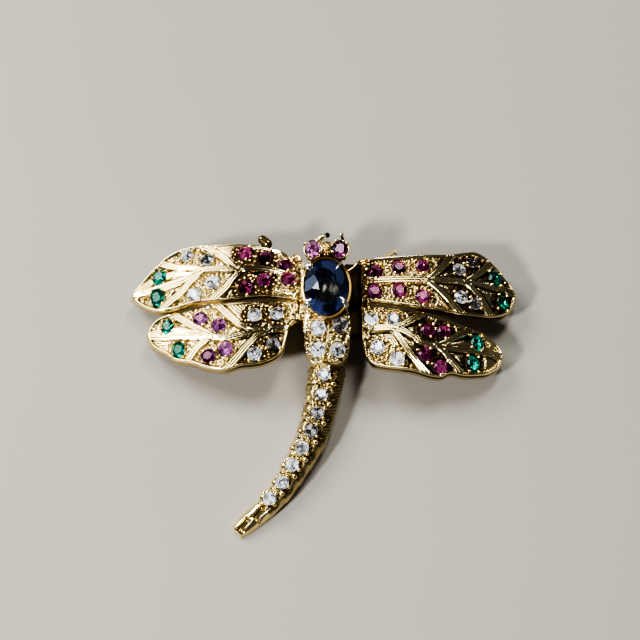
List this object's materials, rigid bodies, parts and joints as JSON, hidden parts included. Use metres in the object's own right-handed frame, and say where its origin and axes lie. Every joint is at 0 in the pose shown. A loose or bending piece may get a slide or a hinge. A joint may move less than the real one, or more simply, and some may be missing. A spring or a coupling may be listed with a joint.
{
  "type": "dragonfly brooch",
  "caption": "Dragonfly brooch with engraved gold wings, an oval blue stone on the thorax, small coloured stones set in wings and tail, and a hinged pin behind.",
  "frame": {"origin": "middle of the brooch's box on the surface it lies on", "axes": "+X along the wings towards the brooch's right as seen from the front, +Y towards the head, +Z out of the face"},
  "size_m": [0.0436, 0.0342, 0.0077],
  "materials": {
    "gold": "polished yellow gold with engraved veins and grained grounds",
    "gold_fitting": "plain yellow gold",
    "sapphire": "deep blue cut stone",
    "pink_stone": "light pink-violet cut stone",
    "ruby": "pinkish red cut stone",
    "emerald": "teal green cut stone",
    "diamond": "clear cut stone"
  },
  "bodies": {
    "root": {"gold_frame": "gold", "pin_fitting": "gold_fitting", "sapphire": "sapphire", "eye_left": "pink_stone", "eye_right": "pink_stone", "ruby_upper_left": "ruby", "ruby_upper_right": "ruby", "ruby_lower_left": "ruby", "ruby_lower_right": "ruby", "diamond_upper_left_1": "diamond", "diamond_upper_left_2": "diamond", "diamond_upper_left_3": "diamond", "diamond_upper_left_4": "diamond", "diamond_upper_right_1": "diamond", "diamond_upper_right_2": "diamond", "diamond_upper_right_3": "diamond", "diamond_upper_right_4": "diamond", "diamond_lower_left_1": "diamond", "diamond_lower_left_2": "diamond", "diamond_lower_left_3": "diamond", "diamond_lower_left_4": "diamond", "diamond_lower_right_1": "diamond", "diamond_lower_right_2": "diamond", "diamond_lower_right_3": "diamond", "diamond_lower_right_4": "diamond", "emerald_upper_left_1": "emerald", "emerald_upper_left_2": "emerald", "emerald_upper_right_1": "emerald", "emerald_upper_right_2": "emerald", "emerald_lower_left_1": "emerald", "emerald_lower_left_2": "emerald", "emerald_lower_right_1": "emerald", "emerald_lower_right_2": "emerald", "diamond_shield_1": "diamond", "diamond_shield_2": "diamond", "diamond_shield_3": "diamond", "diamond_shield_4": "diamond", "diamond_tail_1": "diamond", "diamond_tail_2": "diamond", "diamond_tail_3": "diamond", "diamond_tail_4": "diamond", "diamond_tail_5": "diamond", "diamond_tail_6": "diamond", "diamond_tail_7": "diamond", "diamond_tail_8": "diamond"}
  },
  "joints": []
}
